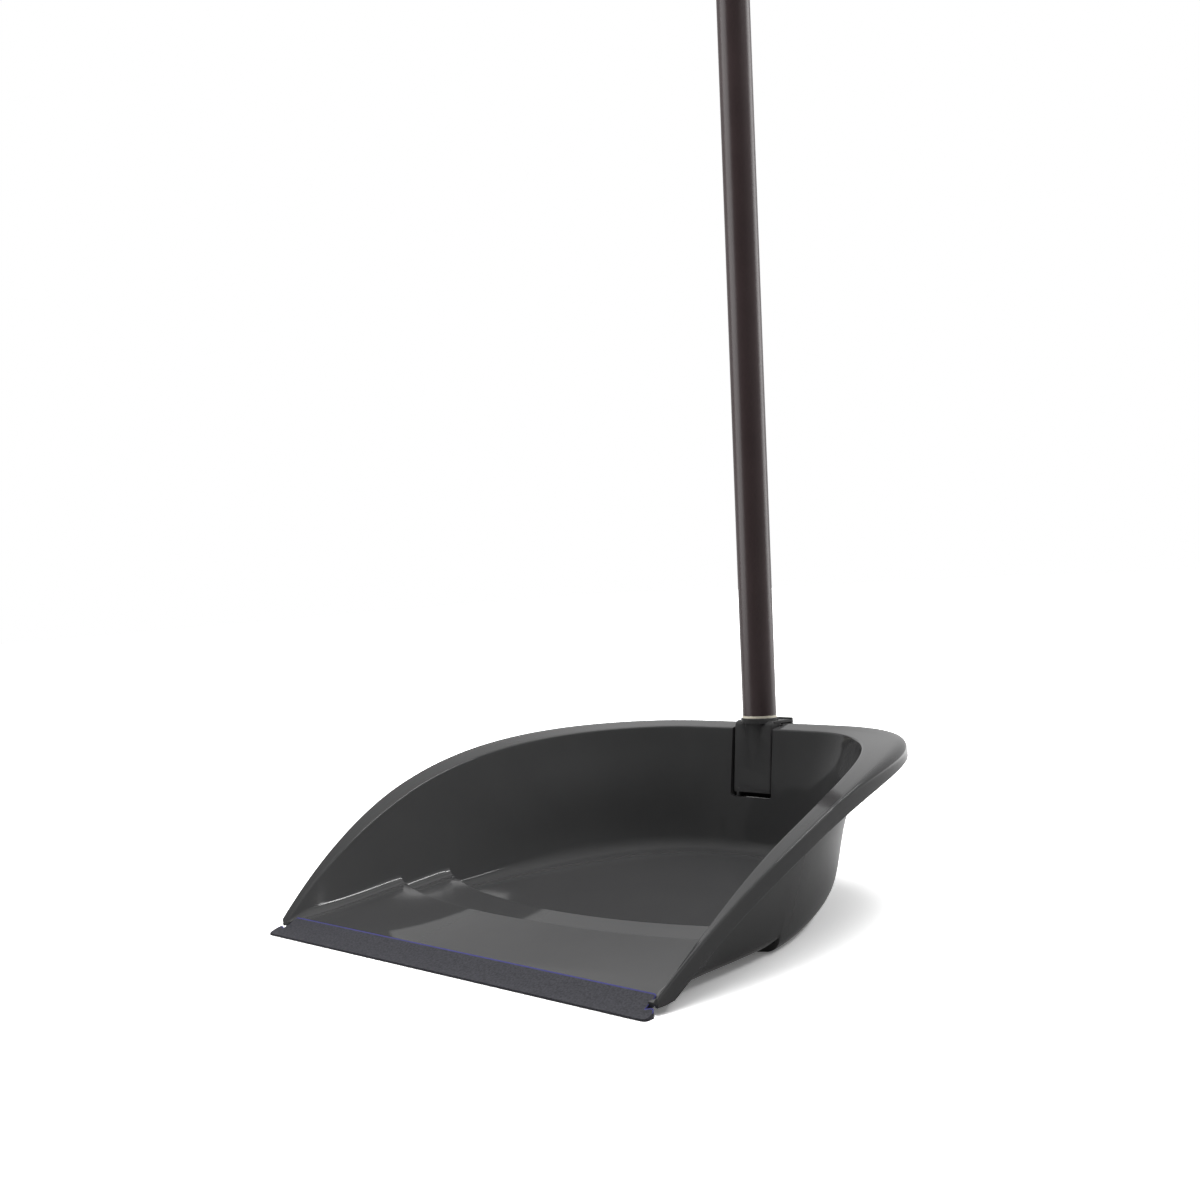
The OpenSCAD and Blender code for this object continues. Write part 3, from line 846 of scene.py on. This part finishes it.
def lip_low(y):
    """Height of the lip's underside: on the ramp behind the pan's front edge, near the floor before it."""
    if y > FRONT_Y - LIP_SEAT_EARLY:
        return float(ramp_a(y)) - LIP_REBATE + LIP_SEAT_GAP
    return LIP_FLOOR_GAP


def lip_section(front, rear):
    """A closed section of the lip between two depths, from the nose over the top and back below."""
    nose = [(front + behind, z) for behind, z in NOSE_FOOT] + [(front, lip_top(front) - NOSE_SIDE)]
    top = [(front + NOSE_TOP[0], lip_top(front) + NOSE_TOP[1])]
    for k in range(1, LIP_TOP_STEPS + 1):
        y = front + (rear - REAR_ROUND - front) * k / LIP_TOP_STEPS
        top.append((y, lip_top(y)))
    back = [(rear + behind, lip_top(rear) + above) for behind, above in REAR_EDGE] + [(rear, lip_low(rear))]
    unders = np.linspace(rear, front + UNDER_FRONT, LIP_UNDER_STEPS)[1:-1]
    under = [(max(front + UNDER_FRONT, y), lip_low(y)) for y in unders]
    return nose + top + back + under


def lip_rings():
    """The lip's sections along its length, with a notch at each end between the flap and the longer blade."""
    end = CLIP_L / 2
    stations = [(0, LIP_D, 0)]
    stations += [(end + beyond, LIP_D - short, front) for beyond, short, front in FLAP_END]
    stations += [(end + beyond, BLADE_D - short, front) for beyond, short, front in BLADE_END]
    stations.append((LIP_HALF, BLADE_D - BLADE_TIP[0], BLADE_TIP[1]))
    stations = [(-x, rear, front) for x, rear, front in reversed(stations[1:])] + stations
    return [[(x, y - REST_Y, z) for y, z in lip_section(front, rear)] for x, rear, front in stations]


lip = solid("lip_rubber_strip", lip_rings(), MATERIALS["lip_rubber"])
soften(lip, angle=50)
# The flap's rear edge shows a blue line: the columns from the end of the top over the rear edge's round
lip.data.materials.append(MATERIALS["lip_edge"])
lip_columns = len(lip_section(0, LIP_D))
rear_column = len(NOSE_FOOT) + 1 + LIP_TOP_STEPS
blue_columns = {rear_column, rear_column + 1, rear_column + 2}
for face in lip.data.polygons:
    columns = {i % lip_columns for i in face.vertices}
    if columns <= blue_columns and len(columns) == 2:
        face.material_index = 1
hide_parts("lip_strip")
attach(lip, "scoop")


# Bracket: built upright on the handle's axis, in millimetres

TONGUE_W = 30
TONGUE_Z = 48.6
TONGUE_ROUND = 1.2
TONGUE_ROUND_STEPS = 7
TONGUE_REAR = 3.0
TONGUE_SINK = 0.25
TONGUE_STEPS = 8
# The tongue's lower end: heights above it and how far its face lies back there
TONGUE_TOE = ((0, 0.5), (0.15, 0.15), (0.6, 0))
DOME_START = 2
DOME_BACK = 3.2
DOME_NARROWS = 0.3
DOME_STEPS = 8
SADDLE_Z = 92.8
SADDLE_T = 2
SADDLE_FRONT = -4.5
SADDLE_TOP = SADDLE_Z + SADDLE_T
COLLAR_R = 12.2
COLLAR_TOP = 96.6
COLLAR_ROOT = 0.5
COLLAR_EDGE = 0.5
SOCKET_R = 10.2
SOCKET_EDGE = 0.2
SOCKET_BORE_R = 8
SPIGOT_L = 34
HOOK_Y = 13.8
HOOK_T = 2.4
HOOK_L = 7.2
HOOK_EDGE = 0.4
RIDGE_H = 1
KEY_EDGE = 0.2
KEY_GAP = 0.3
NUB_X = 12.5
NUB_W = 2.2
NUB_T = 3
NUB_RISE = 3
NUB_SINK = 0.3
# Keeps the faces of joined blocks out of one plane
OFF_PLANE = 0.01
# Steps round a rounded edge: of a box or a node, and of a turned solid
BEVEL_STEPS = 3
RING_EDGE_STEPS = 5


def block(name, low, high, edge):
    """A box between two corners with its edges rounded, in millimetres."""
    work = bmesh.new()
    bmesh.ops.create_cube(work, size=1)
    for v in work.verts:
        v.co = Vector([(low[k] + high[k]) / 2 + v.co[k] * (high[k] - low[k]) for k in range(3)]) * MM
    if edge:
        bmesh.ops.bevel(
            work, geom=work.edges, offset=edge * MM, segments=BEVEL_STEPS, profile=0.5, affect="EDGES")
    made = mesh_object(name, [], [])
    work.to_mesh(made.data)
    work.free()
    tidy_normals(made)
    return made


def turned(name, profile, steps=96):
    """A solid of revolution about the handle's axis over (radius, height) pairs in millimetres."""
    angles = [2 * math.pi * k / steps for k in range(steps)]
    return solid(name, [[(r * math.cos(a), r * math.sin(a), z) for a in angles] for r, z in profile])


def ring_profile(radius, low, high, edge):
    """A cylinder's profile with a rounded upper edge."""
    turn = np.linspace(0, math.pi / 2, RING_EDGE_STEPS)
    rounded = [(radius - edge + edge * math.cos(a), high - edge + edge * math.sin(a)) for a in turn]
    return [(radius, low)] + rounded


def tongue_face(z):
    """How far the back wall's inside lies behind the handle's axis at a height."""
    return back_depth(min(z, RIM_H)) - handle_depth(min(z, RIM_H))


def tongue():
    """The tongue: its face lies flush in the back wall, with round upright edges and a domed upper end."""
    levels = [(TONGUE_Z + z, inset) for z, inset in TONGUE_TOE]
    start = levels[-1][0]
    length = SADDLE_Z - DOME_START - TONGUE_Z
    levels += [(start + length * k / TONGUE_STEPS, 0) for k in range(1, TONGUE_STEPS + 1)]
    base = levels[-1][0]
    turn = np.linspace(0, math.pi / 2, DOME_STEPS + 1)[1:]
    levels += [(base + (SADDLE_TOP - base) * math.sin(a), DOME_BACK * (1 - math.cos(a))) for a in turn]
    turn = np.linspace(0, math.pi / 2, TONGUE_ROUND_STEPS)
    rings = []
    for z, inset in levels:
        face = tongue_face(z) + TONGUE_SINK + inset
        half = TONGUE_W / 2 - DOME_NARROWS * inset
        x, y = half - TONGUE_ROUND, face + TONGUE_ROUND
        right = [(x + TONGUE_ROUND * math.sin(a), y - TONGUE_ROUND * math.cos(a)) for a in turn]
        left = [(-x, y) for x, y in reversed(right)]
        rings.append([(x, y, z) for x, y in left + right + [(half, TONGUE_REAR), (-half, TONGUE_REAR)]])
    return solid("bracket_body", rings)


bracket = tongue()
half_w, half_t = TONGUE_W / 2, KEY_T / 2
key_x, key_y = SLOT_W / 2 + KEY_W, half_t - OFF_PLANE
nub_y = tongue_face(TONGUE_Z) + NUB_SINK
hook_rear = HOOK_Y + HOOK_T
for tool in (
    turned("socket", ring_profile(SOCKET_R, TONGUE_Z, SADDLE_TOP, SOCKET_EDGE)),
    block("web", (-half_w, -half_t, TONGUE_Z), (half_w, half_t, SADDLE_TOP - 10 * OFF_PLANE), 0),
    block("keys", (-key_x, -key_y, SLOT_Z + WALL + KEY_GAP), (key_x, key_y, RIM_H - SKIRT), KEY_EDGE),
    block(
        "nub", (-NUB_X, nub_y, SLOT_Z + KEY_GAP),
        (-NUB_X + NUB_W, nub_y + NUB_T, TONGUE_Z + NUB_RISE), KEY_EDGE),
    block(
        "plate", (-half_w, SADDLE_FRONT, SADDLE_Z),
        (half_w, hook_rear, SADDLE_TOP - 2 * OFF_PLANE), HOOK_EDGE),
    block(
        "hook", (-half_w, HOOK_Y, SADDLE_TOP - HOOK_L),
        (half_w, hook_rear - 2 * OFF_PLANE, SADDLE_TOP + RIDGE_H), HOOK_EDGE),
    turned("collar", ring_profile(COLLAR_R, SADDLE_Z + COLLAR_ROOT, COLLAR_TOP, COLLAR_EDGE)),
):
    combine(bracket, tool, "UNION")
bore = [(SOCKET_BORE_R, COLLAR_TOP - SPIGOT_L), (SOCKET_BORE_R, COLLAR_TOP + OVERLAP)]
combine(bracket, turned("bore", bore), "DIFFERENCE")
bracket.data.transform(handle_frame())
bracket.data.materials.append(MATERIALS["bracket_plastic"])
soften(bracket, angle=35)
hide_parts("handle_bracket")
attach(bracket, "bracket")


# Handle: the plug, the tube and the cap keep their own meshes, with rounded edges (millimetres and degrees)

EDGE_ROUND = {"threaded_plug": 0.2, "handle_tube": 0.15, "end_cap": 0.6}
EDGE_ANGLE = 35
WELD_GAP = 0.01

for name, edge in EDGE_ROUND.items():
    piece = frame["nodes"][name]
    weld = piece.modifiers.new("weld", "WELD")
    weld.merge_threshold = WELD_GAP * MM
    bevel = piece.modifiers.new("bevel", "BEVEL")
    bevel.width = edge * MM
    bevel.segments = BEVEL_STEPS
    bevel.limit_method = "ANGLE"
    bevel.angle_limit = math.radians(EDGE_ANGLE)
    soften(piece, angle=40)
    weighted = piece.modifiers.new("weighted", "WEIGHTED_NORMAL")
    weighted.keep_sharp = True


# Studio, in metres: a white floor under a tent that lights the object and shows in its gloss

WORLD_LEVEL = 0.6
FLOOR_HALF = 6
FLOOR_COLOUR = (0.3, 0.3, 0.3)
FLOOR_SEEN = (1.7, 1.7, 1.7)
FLOOR_MIRRORED = 0.04
FLOOR_LIFT = 0.1
FLOOR_NEAR = 0.3
FLOOR_FAR = 1.0
TENT_RADIUS = 3.0
TENT_RINGS = 16
TENT_TURNS = 48
TENT_DARK = 0.1
TENT_BRIGHT = 0.58
TENT_BRIGHT_SIDE = (-0.42, 0.91, 0)


def seen_as_background(tree, mirrored=1.0):
    """1 for a ray from the camera, a share for a mirror or a glass, 0 for a ray that lights the object."""
    path = tree.nodes.new("ShaderNodeLightPath")
    total = path.outputs["Is Camera Ray"]
    for name in ("Is Glossy Ray", "Is Transmission Ray"):
        total = arithmetic(tree, "MAXIMUM", total, arithmetic(tree, "MULTIPLY", path.outputs[name], mirrored))
    return total


def towards_bright_side(tree, near, far, low, high, interpolation="LINEAR"):
    """A value that goes from low to high between two distances towards the tent's bright side."""
    where = tree.nodes.new("ShaderNodeTexCoord")
    distance = tree.nodes.new("ShaderNodeVectorMath")
    distance.operation = "DOT_PRODUCT"
    distance.inputs[1].default_value = TENT_BRIGHT_SIDE
    tree.links.new(where.outputs["Object"], distance.inputs[0])
    spread = tree.nodes.new("ShaderNodeMapRange")
    spread.interpolation_type = interpolation
    spread.inputs["From Min"].default_value = near
    spread.inputs["From Max"].default_value = far
    spread.inputs["To Min"].default_value = low
    spread.inputs["To Max"].default_value = high
    tree.links.new(distance.outputs["Value"], spread.inputs["Value"])
    return spread.outputs["Result"]


def white_world():
    """A white background over soft light from all round."""
    world = bpy.data.worlds.new("studio")
    bpy.context.scene.world = world
    world.use_nodes = True
    tree = world.node_tree
    light = tree.nodes["Background"]
    light.inputs["Color"].default_value = (1, 1, 1, 1)
    light.inputs["Strength"].default_value = WORLD_LEVEL
    white = tree.nodes.new("ShaderNodeBackground")
    white.inputs["Color"].default_value = (1, 1, 1, 1)
    mix = tree.nodes.new("ShaderNodeMixShader")
    tree.links.new(seen_as_background(tree), mix.inputs["Fac"])
    tree.links.new(light.outputs[0], mix.inputs[1])
    tree.links.new(white.outputs[0], mix.inputs[2])
    tree.links.new(mix.outputs[0], tree.nodes["World Output"].inputs["Surface"])


def floor_material():
    """Pale matt floor that takes the shadow: near white to the camera, wholly white far behind the object."""
    material, tree = new_material("floor")
    tree.nodes.remove(tree.nodes["Principled BSDF"])
    colour = tree.nodes.new("ShaderNodeMix")
    colour.data_type = "RGBA"
    colour.inputs["A"].default_value = (*FLOOR_COLOUR, 1)
    colour.inputs["B"].default_value = (*FLOOR_SEEN, 1)
    tree.links.new(seen_as_background(tree, FLOOR_MIRRORED), colour.inputs["Factor"])
    matt = tree.nodes.new("ShaderNodeBsdfDiffuse")
    tree.links.new(colour.outputs["Result"], matt.inputs["Color"])
    lift = towards_bright_side(tree, FLOOR_NEAR, FLOOR_FAR, FLOOR_LIFT, 1, "SMOOTHSTEP")
    glow = tree.nodes.new("ShaderNodeEmission")
    tree.links.new(arithmetic(tree, "MULTIPLY", seen_as_background(tree), lift), glow.inputs["Strength"])
    both = tree.nodes.new("ShaderNodeAddShader")
    tree.links.new(matt.outputs[0], both.inputs[0])
    tree.links.new(glow.outputs[0], both.inputs[1])
    tree.links.new(both.outputs[0], tree.nodes["Material Output"].inputs["Surface"])
    return material


def tent_material():
    """Soft grey walls of the tent, darker at the front behind the camera."""
    material, tree = new_material("tent")
    tree.nodes.remove(tree.nodes["Principled BSDF"])
    glow = tree.nodes.new("ShaderNodeEmission")
    level = towards_bright_side(tree, -TENT_RADIUS, TENT_RADIUS, TENT_DARK, TENT_BRIGHT)
    tree.links.new(level, glow.inputs["Strength"])
    tree.links.new(glow.outputs[0], tree.nodes["Material Output"].inputs["Surface"])
    return material


def studio_tent():
    """A dome of soft walls round the object, open below, which the camera doesn't see."""
    vertices = []
    for i in range(TENT_RINGS):
        climb = math.radians(90 * i / TENT_RINGS)
        radius, height = TENT_RADIUS * math.cos(climb), TENT_RADIUS * math.sin(climb)
        for j in range(TENT_TURNS):
            turn = 2 * math.pi * j / TENT_TURNS
            vertices.append((radius * math.cos(turn), radius * math.sin(turn), height))
    sides, ends = tube_faces(TENT_RINGS, TENT_TURNS)
    tent = mesh_object("tent", vertices, sides + ends[1:], tent_material())
    tent.visible_camera = False
    tent.visible_shadow = False
    return tent


def soft_box(name, at, target, width, height, radiance, in_gloss=True):
    """A rectangular soft box of a given radiance that faces a point, with or without its image in gloss."""
    lamp = bpy.data.lights.new(name, "AREA")
    lamp.shape = "RECTANGLE"
    lamp.size, lamp.size_y = width, height
    lamp.energy = radiance * math.pi * width * height
    made = bpy.data.objects.new(name, lamp)
    made.location = at
    made.rotation_euler = (Vector(target) - Vector(at)).to_track_quat("-Z", "Y").to_euler()
    made.visible_glossy = in_gloss
    made.visible_camera = False
    bpy.context.scene.collection.objects.link(made)
    return made


white_world()
floor_corners = [(x * FLOOR_HALF, y * FLOOR_HALF, 0) for x, y in ((-1, -1), (1, -1), (1, 1), (-1, 1))]
floor = mesh_object("floor", floor_corners, [(0, 1, 2, 3)], floor_material())
studio_tent()
soft_box("top_box", (0.1, 0.15, 2.2), (0, 0, 0.05), width=1.8, height=1.8, radiance=4.4, in_gloss=False)
soft_box("left_box", (-1.73, -1.36, 1.25), (0, 0, 0.3), width=1.5, height=1.4, radiance=1.7, in_gloss=False)
soft_box("rim_strip", (1.14, 1.06, 1.74), (0, 0, 0.05), width=1.9, height=0.14, radiance=14)
# Two boxes for the bright edges of the handle alone
handle_pieces = bpy.data.collections.new("handle_pieces")
for name in EDGE_ROUND:
    handle_pieces.objects.link(frame["nodes"][name])
for edge_box in (
    soft_box("edge_left", (-1.6, -1.5, 1.0), (0, 0, 0.6), width=2.0, height=2.0, radiance=2.4),
    soft_box("edge_right", (0.93, 2.0, 1.0), (0, 0, 0.6), width=1.2, height=2.0, radiance=2.9),
):
    edge_box.light_linking.receiver_collection = handle_pieces


# Camera at the photograph's viewing angle: place in metres, angles in radians, lens and sensor in millimetres

CAMERA_AT = Vector((0.5790, -0.6434, 0.2035))
CAMERA_YAW = 0.7621
CAMERA_PITCH = 0.0217
CAMERA_ROLL = 0.0631
CAMERA_LENS = 43.395
CAMERA_SENSOR = 36
CAMERA_SHIFT = (-0.00067, -0.0046)
CAMERA_CLIP = (0.01, 50)

camera = bpy.data.objects.new("camera", bpy.data.cameras.new("camera"))
bpy.context.scene.collection.objects.link(camera)
bpy.context.scene.camera = camera
camera.data.lens = CAMERA_LENS
camera.data.sensor_width = CAMERA_SENSOR
camera.data.shift_x, camera.data.shift_y = CAMERA_SHIFT
camera.data.clip_start, camera.data.clip_end = CAMERA_CLIP
forward = Vector((
    -math.sin(CAMERA_YAW) * math.cos(CAMERA_PITCH),
    math.cos(CAMERA_YAW) * math.cos(CAMERA_PITCH),
    -math.sin(CAMERA_PITCH),
))
level = Vector((math.cos(CAMERA_YAW), math.sin(CAMERA_YAW), 0))
upright = level.cross(forward)
camera_right = math.cos(CAMERA_ROLL) * level - math.sin(CAMERA_ROLL) * upright
camera_up = math.sin(CAMERA_ROLL) * level + math.cos(CAMERA_ROLL) * upright
camera_turn = Matrix((camera_right, camera_up, -forward)).transposed().to_4x4()
camera.matrix_world = Matrix.Translation(CAMERA_AT) @ camera_turn

bpy.context.scene.view_settings.view_transform = "Standard"
